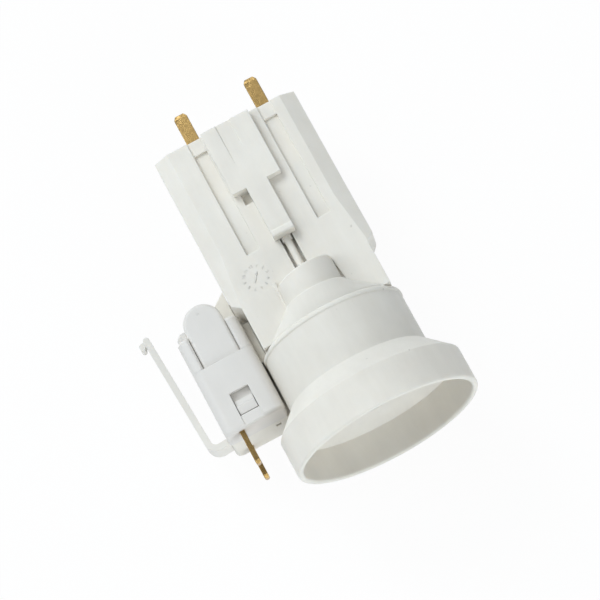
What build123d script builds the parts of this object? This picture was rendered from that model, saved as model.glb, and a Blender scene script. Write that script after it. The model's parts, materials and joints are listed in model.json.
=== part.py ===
from build123d import *
import os

# Ceiling lamp holder for an E27 lamp, and the loose two-blade plug that lies beside it.
# Each of the two is drawn in a frame of its own, in millimetres: Z runs along it towards the
# holder's blades, X to the right and Y away from the latch side. Both are then laid on a table.

# Sleeve with its flared skirt, whose rim is at Z = 0
sleeve_radius = 18.0
sleeve_height = 29.2
skirt_radius = 23.6
skirt_wall = 1.5
skirt_band = 9.2
skirt_flare = 5.7
sleeve_lip_height = 1.5
sleeve_lip_proud = 0.25
sleeve_lip_round = 1.0
collar_bore_radius = 16.5
socket_lip_cover = 0.3
socket_lip_height = 0.8
socket_cone_height = 1.8

# Screw shell for the lamp cap
shell_major_radius = 13.3
shell_thread_depth = 1.05
shell_gauge = 0.35
shell_pitch = 3.62
shell_turns = 4
shell_flange_bore = 9.5
shell_clearance = 0.25

# Housing: a round body with a flat front, a narrower neck and a collar inside the sleeve
body_radius = 18.75
body_end = 83.3
neck_radius = 16.7
shoulder_height = 42.6
front_plane = -9.5
front_half_width = 15.1
corner_depth = 2.2
corner_foot_width = 1.9
corner_fade = 14.0
housing_wall = 1.8
end_wall = 1.8
collar_length = 9.2
collar_clearance = 0.15
carrier_bore_room = 0.75
carrier_seat = 0.9

# Half-round boss and the ramp below it
boss_radius = 7.3
boss_pocket_width = 0.8
boss_pocket_depth = 0.9
boss_length = 6.5
boss_end = 40.9
boss_slant = 0.7
boss_ridge_width = 0.7
boss_ridge_proud = 0.7
boss_ridge_rise = 1.2
ramp_top_radius = 8.2
ramp_foot_radius = 17.2
ramp_foot_height = 0.5

# Blades and their channels
blade_left_x = -8.0
blade_right_x = 10.8
blade_plane = -5.8
blade_width = 3.35
blade_gauge = 1.2
blade_reach = 8.9
blade_tip = 1.0
blade_tip_slope = 0.4
blade_stamp_width = 1.2
blade_stamp_height = 1.0
blade_stamp_depth = 0.12
tang_width = 5.0
tang_margin = 0.5
tang_length = 20.0
tang_shoulder = 6.4
tang_shoulder_length = 4.0
channel_width = 3.5
channel_depth = 1.2
channel_bridge = 3.6
channel_bridge_sink = 0.45
channel_length = 28.2

# Latch slider
latch_x = 0.4
latch_proud = 2.5
latch_head_width = 12.7
latch_head_length = 17.4
latch_stem_width = 5.5
latch_lip_end = 51.2
latch_lip_length = 1.8
latch_lip_proud = 0.9
latch_recess_left = 2.35
latch_recess_right = 1.4
latch_recess_length = 11.5
latch_recess_depth = 0.3
latch_pocket_width = 2.0
latch_pocket_length = 3.0
latch_pocket_depth = 1.3
latch_travel = 3.0
latch_keel_width = 2.8
latch_slot_width = 3.2
latch_foot_width = 5.0
latch_foot_gauge = 1.1
latch_foot_end = 74.6
latch_foot_low = 41.3
latch_gap = 0.25
rod_radius = 0.9
rod_sink = 0.6
rod_bite = 1.2

# Inner parts of the holder
carrier_top = 32.2
carrier_height = 4.6
carrier_recess = 3.0
carrier_clearance = 0.15
strip_gauge = 0.5
strip_width = 3.0
rivet_radius = 1.0
rivet_head_radius = 1.7
rivet_head = 0.7
hole_clearance = 0.06
link_right_inset = 3.5
link_left_inset = 6.3
link_right_foot_y = 0.0
contact_gauge = 0.4
contact_width = 4.0
contact_lift = 1.6

# Back cover
seam_y = 3.0
cover_foot = 45.0
cover_gap = 0.1
tongue_gauge = 1.2
tongue_depth = 2.0
tongue_root = 3.0

# Loose plug: its own frame starts at the near left corner of its blade end
plug_width = 15.7
plug_cover_depth = 11.0
plug_cover_height = 17.0
plug_cover_wall = 1.4
plug_round = 2.4
plug_rim_round = 1.1
plug_depth = 27.0
base_left = 0.2
base_overhang = 1.2
base_height = 24.3
base_wall = 1.6
base_floor = 3.6
room_under_finger = 2.2
passage_drop = 3.0
finger_inset = 0.3
finger_width = 5.0
finger_rise = 10.0
finger_root = 2.0
finger_slope = 3.6
finger_notch_inset = 1.1
finger_notch_rise = 2.7
finger_notch_depth = 5.0
foot_right = 19.4
foot_near = 19.5
foot_rise = 8.7
flank_gap = 0.05
flank_gauge = 1.7
flank_near = 5.5
flank_above_sleeve = 0.3
flank_below_shoulder = 0.6
rail_end = 25.5
rail_left_width = 3.0
rail_right_width = 2.9
rail_chamfer = 0.5
nub_left = 0.5
nub_near = 3.2
nub_depth = 4.0
nub_end = 27.9
nub_slope = 1.3
tab_sink = 0.6
tab_gauge = 2.2
tab_end = 31.8
tab_dome = 0.9
tab_dimple = 0.3
tab_dimple_depth = 0.06
tab_gap = 0.08
window_width = 4.9
window_shift = 0.1
window_low = 2.9
window_high = 8.8
plug_latch_travel = 2.0
plug_blade_x = 4.1
plug_blade_near_y = 3.5
plug_blade_far_y = 22.2
plug_blade_reach = 8.7
plug_tang = 12.0
earth_x = 12.5
earth_y = 14.5
earth_width = 2.0
earth_gauge = 1.3
earth_room_length = 9.0
earth_clip_length = 8.8
terminal_width = 5.0
terminal_height = 7.0
terminal_low = 5.0
terminal_depth = 5.0
terminal_gap = 0.6
wire_hole_radius = 1.3
wire_notch_left = 5.5
wire_notch_right = 12.5
screw_radius = 1.2
screw_head_radius = 2.0
screw_head_height = 1.1
screw_bite = 1.4
screw_slot_depth = 0.5
screw_slot_width = 0.6

# Strap with its hook
strap_gauge = 1.6
strap_width = 8.0
strap_near_y = 13.0
strap_root_z = 1.9
strap_reach = 5.5
strap_corner_round = 2.2
strap_length = 31.5
strap_splay = 3.0
strap_taper = 12.0
hook_width = 3.2
hook_reach = 1.5
hook_gauge = 1.2
hook_drop = 1.9
knuckle_radius = 1.1
knuckle_sink = 0.9
knuckle_clearance = 0.07

# Where the plug lies, in the holder's frame before both are laid down
plug_gap = 0.1
plug_sleeve_gap = 0.3
plug_above_skirt = 1.65


# Shapes used again and again

def turned(points):
    """A solid of revolution about Z from points given as radius and height."""
    outline = Polyline(*[(radius, 0, height) for radius, height in points], close=True)
    return revolve(make_face(outline), Axis.Z, 360)


def block(low_x, high_x, low_y, high_y, low_z, high_z):
    """A block between two values on each axis."""
    size = (high_x - low_x, high_y - low_y, high_z - low_z)
    middle = ((low_x + high_x) / 2, (low_y + high_y) / 2, (low_z + high_z) / 2)
    return Pos(*middle) * Box(*size)


def slab(points, low_y, high_y):
    """A plate whose outline is given as X and Z, between two values of Y."""
    outline = make_face(Polyline(*[(x, low_y, z) for x, z in points], close=True))
    return extrude(outline, amount=high_y - low_y, dir=(0, 1, 0))


def rod_along_z(radius, x, y, low_z, high_z):
    """A round rod parallel to Z."""
    return Pos(x, y, (low_z + high_z) / 2) * Cylinder(radius, high_z - low_z)


def rod_along_x(radius, y, z, low_x, high_x):
    """A round rod parallel to X."""
    return Pos((low_x + high_x) / 2, y, z) * Rot(0, 90, 0) * Cylinder(radius, high_x - low_x)


def rod_along_y(radius, x, z, low_y, high_y):
    """A round rod parallel to Y."""
    return Pos(x, (low_y + high_y) / 2, z) * Rot(90, 0, 0) * Cylinder(radius, high_y - low_y)


def layer(low_y, high_y, low_z, high_z):
    """A block wider than the holder, between two values of Y and two heights."""
    return block(-skirt_radius, skirt_radius, low_y, high_y, low_z, high_z)


# Values that follow from the sizes above

neck_foot = sleeve_height
shell_outer_radius = shell_major_radius + shell_gauge
shell_minor_radius = shell_major_radius - shell_thread_depth
socket_mouth_radius = shell_outer_radius + shell_clearance
socket_lip_radius = shell_outer_radius - socket_lip_cover
carrier_bore_radius = shell_outer_radius + carrier_bore_room
neck_cavity_radius = carrier_bore_radius - carrier_seat
link_left_x = blade_left_x
link_left_foot_y = neck_cavity_radius - link_left_inset
link_right_x = neck_cavity_radius - link_right_inset
boss_foot = boss_end - boss_length
shoulder_foot = shoulder_height - (body_radius - neck_radius)
inner_end = body_end - end_wall
front_inner = front_plane + housing_wall
channel_top = body_end - channel_bridge
skirt_floor = skirt_band - skirt_wall / 2
socket_mouth = skirt_floor + socket_cone_height
shell_rim = socket_mouth + socket_lip_height
collar_foot = sleeve_height - collar_length
carrier_foot = carrier_top - carrier_height
blade_front = blade_plane - blade_gauge / 2
blade_back = blade_plane + blade_gauge / 2
tang_foot = inner_end - tang_length
link_rivet_z = tang_foot + tang_width / 2
latch_face = front_plane - latch_proud
latch_head_end = body_end - 0.3
latch_slot_foot = boss_end + 0.2
rod_end = boss_end - boss_slant - rod_bite
rod_y = front_plane + rod_sink
contact_top = carrier_foot
window_left = (plug_width - window_width) / 2 + window_shift
window_right = window_left + window_width
tab_left = rail_left_width + tab_gap
tab_right = plug_width - rail_right_width - tab_gap
tab_middle = (tab_left + tab_right) / 2
tab_radius = (tab_right - tab_left) / 2
knuckle_x = base_left + knuckle_sink
terminal_near_y = plug_cover_depth - terminal_depth
terminal_far_y = plug_blade_far_y - terminal_depth / 2
corner_width = body_radius - front_half_width
base_right = plug_width + base_overhang
finger_right = plug_width - finger_inset
finger_left = finger_right - finger_width
finger_end = base_height + finger_rise
finger_notch_left = finger_left + finger_notch_inset
finger_notch_end = base_height + finger_notch_rise
room_right = finger_left + room_under_finger
foot_end = base_height + foot_rise
flank_left = plug_width + flank_gap
flank_right = flank_left + flank_gauge

# The plug lies against whichever of the sleeve, the body and the neck reaches furthest towards it
plug_offset_x = -max(
    sleeve_radius + sleeve_lip_proud + plug_sleeve_gap + plug_width,
    body_radius + plug_gap + finger_right,
    neck_radius + plug_gap + flank_right,
)
plug_offset_z = skirt_band + skirt_flare + plug_above_skirt
flank_foot = sleeve_height + flank_above_sleeve - plug_offset_z
flank_end = shoulder_foot - flank_below_shoulder - plug_offset_z


# The lamp holder

def body_outline():
    """The body with a round back and straight sides, its shoulders, neck and flat front, solid."""
    shape = turned(
        [
            (0, neck_foot),
            (neck_radius, neck_foot),
            (neck_radius, shoulder_foot),
            (body_radius, shoulder_height),
            (body_radius, body_end),
            (0, body_end),
        ]
    )
    shape += block(-neck_radius, neck_radius, front_plane, 0, neck_foot, shoulder_height)
    shape += slab(
        [
            (-neck_radius, shoulder_foot),
            (neck_radius, shoulder_foot),
            (body_radius, shoulder_height),
            (body_radius, body_end),
            (-body_radius, body_end),
            (-body_radius, shoulder_height),
        ],
        front_plane,
        0,
    )
    shape &= layer(front_plane, body_radius + 1, neck_foot, body_end)
    # the chamfers of the front's long corners grow narrower towards the shoulders
    for side in (-1, 1):
        corners = []
        for height, width in ((shoulder_foot, corner_foot_width), (shoulder_foot + corner_fade, corner_width)):
            inner_x = side * (body_radius - width)
            outer_x = side * (body_radius + width)
            low_y = front_plane + 2 * corner_depth * width / corner_width
            outline = Polyline(
                (inner_x, front_plane, height), (outer_x, front_plane, height), (outer_x, low_y, height), close=True
            )
            corners.append(make_face(outline))
        shape -= loft(corners, ruled=True)
        shape -= extrude(corners[1], amount=body_end - shoulder_foot, dir=(0, 0, 1))
    return shape


def body_cavity():
    """The space inside the body and the neck, above the carrier's seat."""
    upper = turned(
        [
            (0, shoulder_height + housing_wall),
            (body_radius - housing_wall, shoulder_height + housing_wall),
            (body_radius - housing_wall, inner_end),
            (0, inner_end),
        ]
    )
    lower = rod_along_z(neck_cavity_radius, 0, 0, carrier_top, shoulder_height + housing_wall + 1)
    return (upper + lower) & layer(front_inner, body_radius, carrier_top, inner_end)


def boss_and_ramp():
    """The half-round boss on the front and the ramp that spreads from it to the sleeve."""
    boss = rod_along_z(boss_radius, 0, front_plane, boss_foot, boss_end + boss_slant)
    # its end is cut at a slant, lower on the left
    boss -= slab(
        [
            (-body_radius, boss_end - boss_slant * body_radius / boss_radius),
            (body_radius, boss_end + boss_slant * body_radius / boss_radius),
            (-body_radius, boss_end + boss_slant * body_radius / boss_radius),
        ],
        front_plane - 2 * boss_radius,
        front_plane + 2 * boss_radius,
    )
    boss = fillet(boss.faces().sort_by(Axis.Z)[-1].edges(), 0.4)
    # a narrow ridge runs along its left side and on past its end
    ridge = block(
        -boss_radius - boss_ridge_width / 2,
        -boss_radius + boss_ridge_width / 2,
        front_plane - boss_ridge_proud,
        front_plane,
        boss_foot,
        boss_end + boss_ridge_rise,
    )
    half = block(-body_radius, body_radius, -body_radius, front_plane, neck_foot, boss_end + boss_slant)
    narrow = Pos(0, front_plane, boss_foot) * Circle(ramp_top_radius)
    narrow &= Pos(0, front_plane - body_radius, boss_foot) * Rectangle(4 * body_radius, 2 * body_radius)
    wide = Pos(0, 0, neck_foot + ramp_foot_height) * Circle(ramp_foot_radius)
    wide &= Pos(0, front_plane - body_radius, neck_foot + ramp_foot_height) * Rectangle(
        4 * body_radius, 2 * body_radius
    )
    ramp = loft([wide.face(), narrow.face()], ruled=True)
    foot = rod_along_z(ramp_foot_radius, 0, 0, neck_foot, neck_foot + ramp_foot_height) & half
    return (boss & half) + ramp + foot + ridge


def blade_places():
    """The X of each of the holder's blades."""
    return {"left": blade_left_x, "right": blade_right_x}


def holder_housing():
    """The moulded housing, with everything but its back cover."""
    shape = body_outline() + boss_and_ramp()
    shape += rod_along_z(collar_bore_radius - collar_clearance, 0, 0, collar_foot, neck_foot)
    shape -= body_cavity()
    shape -= rod_along_z(carrier_bore_radius, 0, 0, collar_foot, carrier_top)
    shape -= layer(seam_y, body_radius + 1, cover_foot, body_end)
    # channels in front of the blades, and the seats behind the front wall that carry the blades
    for place in blade_places().values():
        low_x = place - channel_width / 2
        high_x = place + channel_width / 2
        channel_foot = channel_top - channel_length
        bridge = front_plane + channel_bridge_sink
        shape -= block(low_x, high_x, front_plane - 1, front_plane + channel_depth, channel_foot, channel_top)
        shape -= block(low_x, high_x, front_plane - 1, bridge, channel_top, body_end + 1)
        seat = block(
            place - tang_width / 2,
            place + tang_width / 2,
            front_inner - 0.2,
            blade_front,
            tang_foot + tang_width,
            inner_end,
        )
        shape += seat
        shape -= block(
            place - blade_width / 2 - hole_clearance,
            place + blade_width / 2 + hole_clearance,
            blade_front - hole_clearance,
            blade_back + hole_clearance,
            inner_end - 1,
            body_end + 1,
        )
    # slot for the latch's keel and rod, and the bore for the rod in the boss
    shape -= block(
        latch_x - latch_slot_width / 2,
        latch_x + latch_slot_width / 2,
        front_plane - 1,
        front_inner + 0.2,
        latch_slot_foot,
        inner_end - 1,
    )
    shape -= rod_along_z(rod_radius + latch_gap, latch_x, rod_y, rod_end - latch_travel - 0.6, boss_end + boss_slant)
    # pocket in the corner between the latch's head and its stem
    stem_left = latch_x - latch_stem_width / 2
    head_foot = latch_head_end - latch_head_length
    shape -= block(
        stem_left - latch_pocket_width,
        stem_left,
        front_plane - 1,
        front_plane + latch_pocket_depth,
        head_foot - latch_pocket_length,
        head_foot,
    )
    # tapered pocket at the right of the boss
    return shape - slab(
        [
            (boss_radius, boss_end),
            (boss_radius, boss_foot),
            (boss_radius + boss_pocket_width, boss_foot),
        ],
        front_plane - 1,
        front_plane + boss_pocket_depth,
    )


def back_cover():
    """The rounded cover that closes the housing from behind, with the tongue that holds it."""
    shape = body_outline() & layer(seam_y, body_radius + 1, cover_foot + cover_gap, body_end)
    shape -= body_cavity()
    wall_inside = body_radius - housing_wall
    low = cover_foot + tongue_depth
    high = inner_end - cover_gap
    tip = rod_along_z(wall_inside - cover_gap, 0, 0, low, high)
    tip &= layer(seam_y - tongue_depth, seam_y, low, high)
    root = rod_along_z(wall_inside, 0, 0, low, high) & layer(seam_y, seam_y + tongue_root, low, high)
    hollow = rod_along_z(wall_inside - cover_gap - tongue_gauge, 0, 0, low, high)
    return shape + (tip + root - hollow)


def skirt_sleeve():
    """The sleeve over the neck's collar, flared into the lamp's skirt."""
    inner_skirt = skirt_radius - skirt_wall
    outline = Polyline(
        (skirt_radius, 0, 0),
        (skirt_radius, 0, skirt_band),
        (sleeve_radius, 0, skirt_band + skirt_flare),
        (sleeve_radius, 0, sleeve_height - sleeve_lip_height),
        (sleeve_radius + sleeve_lip_proud, 0, sleeve_height - sleeve_lip_height + sleeve_lip_proud),
        (sleeve_radius + sleeve_lip_proud, 0, sleeve_height),
        (collar_bore_radius, 0, sleeve_height),
        (collar_bore_radius, 0, collar_foot),
        (socket_mouth_radius, 0, collar_foot),
        (socket_mouth_radius, 0, shell_rim),
        (socket_lip_radius, 0, shell_rim),
        (socket_lip_radius, 0, socket_mouth),
        (inner_skirt, 0, skirt_floor),
        (inner_skirt, 0, 0),
        close=True,
    )
    shape = revolve(make_face(outline), Axis.Z, 360)
    rim = shape.edges().filter_by(GeomType.CIRCLE).group_by(Axis.Z)[0]
    shape = fillet(rim, skirt_wall * 0.45)
    top = shape.edges().filter_by(GeomType.CIRCLE).group_by(Axis.Z)[-1].sort_by(SortBy.RADIUS)[-1]
    return fillet(top, sleeve_lip_round)


def screw_shell():
    """The rolled metal shell that takes the lamp cap, with its flange on the carrier."""
    low = shell_rim
    outer = [(shell_major_radius + shell_gauge, low)]
    inner = [(shell_major_radius, low)]
    step = shell_pitch / 2
    height = low + 1.2
    for turn in range(shell_turns):
        for radius in (shell_minor_radius, shell_major_radius):
            height += step
            outer.append((radius + shell_gauge, height))
            inner.append((radius, height))
    outer.insert(1, (shell_major_radius + shell_gauge, low + 1.2))
    inner.insert(1, (shell_major_radius, low + 1.2))
    outer.append((shell_major_radius + shell_gauge, contact_top))
    flange = [(shell_flange_bore, contact_top), (shell_flange_bore, contact_top - shell_gauge)]
    inner.append((shell_major_radius, contact_top - shell_gauge))
    shape = turned(outer + flange + inner[::-1])
    notch_half = contact_width / 2 + 0.6
    shape -= block(
        shell_flange_bore - 2, shell_minor_radius, -notch_half, notch_half, contact_top - 0.5, contact_top
    )
    shape -= rod_along_z(
        rivet_radius + hole_clearance, link_left_x, link_left_foot_y, contact_top - 1, contact_top
    )
    return shape


def contact_carrier():
    """The insulating block that holds the contacts in the neck."""
    radius = carrier_bore_radius - carrier_clearance
    shape = rod_along_z(radius, 0, 0, carrier_foot, carrier_top)
    shape -= rod_along_z(shell_flange_bore - 0.7, 0, 0, carrier_foot, carrier_foot + carrier_recess)
    for x, y in ((link_left_x, link_left_foot_y), (link_right_x, link_right_foot_y)):
        shape -= rod_along_z(rivet_radius + hole_clearance, x, y, carrier_foot, carrier_top)
    return shape


def centre_contact():
    """The sprung leaf that rises into the carrier's recess and meets the tip of the lamp cap."""
    low = contact_top - contact_gauge
    half = contact_width / 2
    bend = shell_flange_bore - 1.6
    outer_x = link_right_x + rivet_head_radius + 0.2
    leaf = slab(
        [
            (outer_x, low),
            (outer_x, contact_top),
            (bend - 0.2, contact_top),
            (bend - contact_lift - 0.2, contact_top + contact_lift),
            (-half, contact_top + contact_lift),
            (-half, low + contact_lift),
            (bend - contact_lift, low + contact_lift),
            (bend, low),
        ],
        -half,
        half,
    )
    button = Pos(0, 0, low + contact_lift) * Cone(0.9, 1.7, 0.9, align=(Align.CENTER, Align.CENTER, Align.MAX))
    hole = rod_along_z(rivet_radius + hole_clearance, link_right_x, link_right_foot_y, low, contact_top)
    return leaf + button - hole


def carrier_rivets():
    """The two rivets that hold the contacts and the link strips to the carrier."""
    rivets = []
    lower = {"left": contact_top - shell_gauge, "right": contact_top - contact_gauge}
    places = {
        "left": (link_left_x, link_left_foot_y),
        "right": (link_right_x, link_right_foot_y),
    }
    for side, (x, y) in places.items():
        top = carrier_top + strip_gauge
        rivet = rod_along_z(rivet_radius, x, y, lower[side] - rivet_head, top + rivet_head)
        rivet += rod_along_z(rivet_head_radius, x, y, lower[side] - rivet_head, lower[side])
        rivet += rod_along_z(rivet_head_radius, x, y, top, top + rivet_head)
        rivets.append(rivet)
    return Compound(children=rivets)


def blade(place, rivet_x):
    """One flat blade, with the shoulders that stop it behind the end wall."""
    half = blade_width / 2
    end = body_end + blade_reach
    # the tang is wide enough for its rivet's hole
    rivet_room = rivet_radius + hole_clearance + tang_margin
    tang_left = min(place - tang_width / 2, rivet_x - rivet_room)
    tang_right = max(place + tang_width / 2, rivet_x + rivet_room)
    shape = slab(
        [
            (tang_left, tang_foot),
            (tang_right, tang_foot),
            (tang_right, inner_end - tang_shoulder_length),
            (place + tang_shoulder / 2, inner_end - tang_shoulder_length),
            (place + tang_shoulder / 2, inner_end),
            (place + half, inner_end),
            (place + half, end - blade_tip),
            (place + half - blade_tip * 0.6, end),
            (place - half + blade_tip * 0.6, end),
            (place - half, end - blade_tip),
            (place - half, inner_end),
            (place - tang_shoulder / 2, inner_end),
            (place - tang_shoulder / 2, inner_end - tang_shoulder_length),
            (tang_left, inner_end - tang_shoulder_length),
        ],
        blade_front,
        blade_back,
    )
    # the tip slopes on both faces, with a shallow stamp below the slope in front
    for face, way in ((blade_front, 1), (blade_back, -1)):
        slope_cut = Polyline(
            (place - half, face, end - blade_tip),
            (place - half, face, end),
            (place - half, face + way * blade_tip_slope, end),
            close=True,
        )
        shape -= extrude(make_face(slope_cut), amount=blade_width, dir=(1, 0, 0))
    stamp_top = end - blade_tip - blade_stamp_depth
    shape -= block(
        place - half + blade_stamp_depth,
        place - half + blade_stamp_depth + blade_stamp_width,
        blade_front - 1,
        blade_front + blade_stamp_depth,
        stamp_top - blade_stamp_height,
        stamp_top,
    )
    return shape - rod_along_y(rivet_radius + hole_clearance, rivet_x, link_rivet_z, blade_front - 1, blade_back + 1)


def link_strip(x, foot_y):
    """A bent strip from a blade's tang to its rivet on the carrier."""
    top = link_rivet_z + 2.0
    back = blade_back + strip_gauge
    low = carrier_top
    corner = 1.2
    outline = Polyline(
        (x, blade_back, top),
        (x, back, top),
        (x, back, low + strip_gauge + corner),
        (x, back + corner, low + strip_gauge),
        (x, foot_y + 1.7, low + strip_gauge),
        (x, foot_y + 1.7, low),
        (x, blade_back + corner, low),
        (x, blade_back, low + corner),
        close=True,
    )
    shape = extrude(make_face(outline), amount=strip_width / 2, both=True)
    shape -= rod_along_z(rivet_radius + hole_clearance, x, foot_y, low - 1, low + strip_gauge + 0.1)
    return shape - rod_along_y(rivet_radius + hole_clearance, x, link_rivet_z, blade_back - 1, back + 1)


def strip_rivets():
    """The rivets that join each link strip to its blade."""
    rivets = []
    for x in (link_left_x, link_right_x):
        back = blade_back + strip_gauge
        rivet = rod_along_y(rivet_radius, x, link_rivet_z, blade_front, back + rivet_head)
        rivet += rod_along_y(rivet_head_radius, x, link_rivet_z, back, back + rivet_head)
        rivets.append(rivet)
    return Compound(children=rivets)


def latch_slider():
    """The latch that slides on the front, with its thumb lip, keel and guide rod."""
    left = latch_x - latch_head_width / 2
    right = latch_x + latch_head_width / 2
    head_foot = latch_head_end - latch_head_length
    stem_left = latch_x - latch_stem_width / 2
    stem_right = latch_x + latch_stem_width / 2
    plate = slab(
        [
            (left, latch_head_end),
            (right, latch_head_end),
            (right, head_foot),
            (stem_right, head_foot),
            (stem_right, latch_lip_end),
            (stem_left, latch_lip_end),
            (stem_left, head_foot),
            (left, head_foot),
        ],
        latch_face,
        front_plane,
    )
    # shallow recess down the middle of the head, which fades towards its foot
    recess_left = latch_x - latch_recess_left
    profile = Polyline(
        (recess_left, latch_face, latch_head_end - latch_recess_length),
        (recess_left, latch_face, latch_head_end),
        (recess_left, latch_face + latch_recess_depth, latch_head_end),
        close=True,
    )
    recess = extrude(make_face(profile), amount=latch_recess_left + latch_recess_right, dir=(1, 0, 0))
    lip = block(
        stem_left, stem_right, latch_face - latch_lip_proud, latch_face, latch_lip_end,
        latch_lip_end + latch_lip_length,
    )
    lip = fillet(lip.edges().filter_by(Axis.X).group_by(Axis.Y)[0], 0.55)
    keel = block(
        latch_x - latch_keel_width / 2,
        latch_x + latch_keel_width / 2,
        front_plane,
        front_inner + latch_gap + 0.2,
        latch_lip_end + 1,
        inner_end - 1 - latch_travel / 2,
    )
    foot = block(
        latch_x - latch_foot_width / 2,
        latch_x + latch_foot_width / 2,
        front_inner + latch_gap,
        front_inner + latch_gap + latch_foot_gauge,
        latch_foot_low,
        latch_foot_end,
    )
    rod = rod_along_z(rod_radius, latch_x, rod_y, rod_end, latch_lip_end + 2)
    ring = rod_along_z(rod_radius + 0.35, latch_x, rod_y, latch_lip_end - 1.2, latch_lip_end + 1.2)
    ring &= layer(front_plane, 0, 0, body_end)
    return (plate - recess) + lip + keel + foot + rod + ring


# The loose plug

def plug_shell_outline(height):
    """The near part of the plug, with rounded near corners, solid up to a height."""
    shape = block(0, plug_width, 0, plug_cover_depth, 0, height)
    near = shape.edges().filter_by(Axis.Z).group_by(Axis.Y)[0]
    return fillet(near, plug_round)


def plug_cover():
    """The cover of the plug, with the window for the latch's nose."""
    outer = plug_shell_outline(plug_cover_height)
    rim = outer.edges().group_by(Axis.Z)[0].sort_by(Axis.Y)[:-1]
    outer = fillet(rim, plug_rim_round)
    hollow = block(
        plug_cover_wall,
        plug_width - plug_cover_wall,
        plug_cover_wall,
        plug_cover_depth + 1,
        plug_cover_wall,
        plug_cover_height + 1,
    )
    hollow = fillet(hollow.edges().filter_by(Axis.Z).group_by(Axis.Y)[0], plug_round - plug_cover_wall)
    shape = outer - hollow
    shape -= block(window_left, window_right, -1, plug_cover_wall + 1, window_low, window_high)
    shape -= block(window_left, window_right, -1, 0.25, -1, window_low)
    half = blade_gauge / 2 + hole_clearance
    near_edge = plug_blade_near_y - blade_width / 2 - hole_clearance
    return shape - block(
        plug_blade_x - half, plug_blade_x + half, near_edge, plug_cover_depth + 1, -1, plug_cover_wall + 1
    )


def latch_guide():
    """The inner part under the cover: its two rails guide the pull tab."""
    gap = cover_gap
    core = block(
        plug_cover_wall + gap,
        plug_width - plug_cover_wall - gap,
        plug_cover_wall + gap,
        plug_cover_depth,
        plug_cover_wall,
        plug_cover_height,
    )
    core = fillet(core.edges().filter_by(Axis.Z).group_by(Axis.Y)[0], plug_round - plug_cover_wall - gap)
    rails = plug_shell_outline(rail_end) - block(
        -1, plug_width + 1, -1, plug_cover_depth + 1, -1, plug_cover_height
    )
    tops = rails.edges().group_by(Axis.Z)[-1].group_by(Axis.Y)[0]
    rails = chamfer(tops, 0.6)
    shape = core + rails
    # a nub behind the left rail, higher than the rail
    nub = slab(
        [
            (nub_left, plug_cover_height + 1),
            (nub_left, nub_end - nub_slope),
            (nub_left + nub_slope, nub_end),
            (rail_left_width, nub_end),
            (rail_left_width, plug_cover_height + 1),
        ],
        nub_near,
        nub_near + nub_depth,
    )
    shape += nub
    # guide for the tab between the rails, chamfered, and for its shank under the cover
    mouth = Polyline(
        (rail_left_width - rail_chamfer, 0, plug_cover_height),
        (rail_left_width, rail_chamfer, plug_cover_height),
        (plug_width - rail_right_width, rail_chamfer, plug_cover_height),
        (plug_width - rail_right_width + rail_chamfer, 0, plug_cover_height),
        close=True,
    )
    shape -= extrude(make_face(mouth), amount=rail_end, dir=(0, 0, 1))
    shape -= block(
        rail_left_width,
        plug_width - rail_right_width,
        -1,
        tab_sink + tab_gauge + tab_gap,
        plug_cover_height - plug_latch_travel,
        rail_end + 1,
    )
    shape -= block(
        window_left - tab_gap - 0.1,
        window_right + tab_gap + 0.1,
        -1,
        tab_sink + tab_gauge + tab_gap + 0.6,
        plug_cover_wall,
        plug_cover_height + 1,
    )
    # room for the near blade, its terminal and the wires
    half = blade_gauge / 2 + hole_clearance
    shape -= block(
        plug_blade_x - half,
        plug_blade_x + half,
        plug_blade_near_y - blade_width / 2 - hole_clearance,
        plug_cover_depth + 1,
        plug_cover_wall - 1,
        plug_tang + hole_clearance,
    )
    shape -= block(
        plug_blade_x,
        plug_width,
        plug_cover_depth - terminal_depth - 0.4,
        plug_cover_depth + 1,
        terminal_low - 0.2,
        terminal_low + terminal_height + 0.2,
    )
    return shape - block(
        wire_notch_left,
        wire_notch_right,
        plug_cover_depth - terminal_depth,
        plug_cover_depth + 1,
        terminal_low + terminal_height,
        rail_end + 1,
    )


def pull_tab():
    """The dome-ended tab between the rails, with the nose that shows in the window."""
    low_y = tab_sink
    high_y = tab_sink + tab_gauge
    centre_z = tab_end - tab_radius
    tab = block(tab_left, tab_right, low_y, high_y, plug_cover_height + 0.1, centre_z)
    tab += rod_along_y(tab_radius, tab_middle, centre_z, low_y, high_y)
    dome = tab.faces().sort_by(Axis.Y)[0].edges().filter_by(GeomType.CIRCLE)
    tab = fillet(dome, tab_dome)
    tab -= rod_along_y(tab_dimple, tab_middle, centre_z + tab_radius / 2, low_y - 1, low_y + tab_dimple_depth)
    shank_left = window_left - 0.1
    shank_right = window_right + 0.1
    shank_top = plug_cover_height + 2
    shank_front = plug_cover_wall + 0.2
    shank = block(shank_left, shank_right, shank_front, high_y, window_low + 0.2, shank_top)
    nose_left = window_left + 0.15
    nose_right = window_right - 0.15
    middle_z = window_low + 2.6
    profile = Polyline(
        (nose_left, shank_front, window_low + 0.2),
        (nose_left, 0.5, window_low + 0.2),
        (nose_left, 0.2, middle_z - 0.4),
        (nose_left, 0.7, middle_z),
        (nose_left, 0.9, window_high - plug_latch_travel - 0.2),
        (nose_left, shank_front, window_high - plug_latch_travel - 0.2),
        close=True,
    )
    nose = extrude(make_face(profile), amount=nose_right - nose_left, dir=(1, 0, 0))
    return tab + shank + nose


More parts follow.
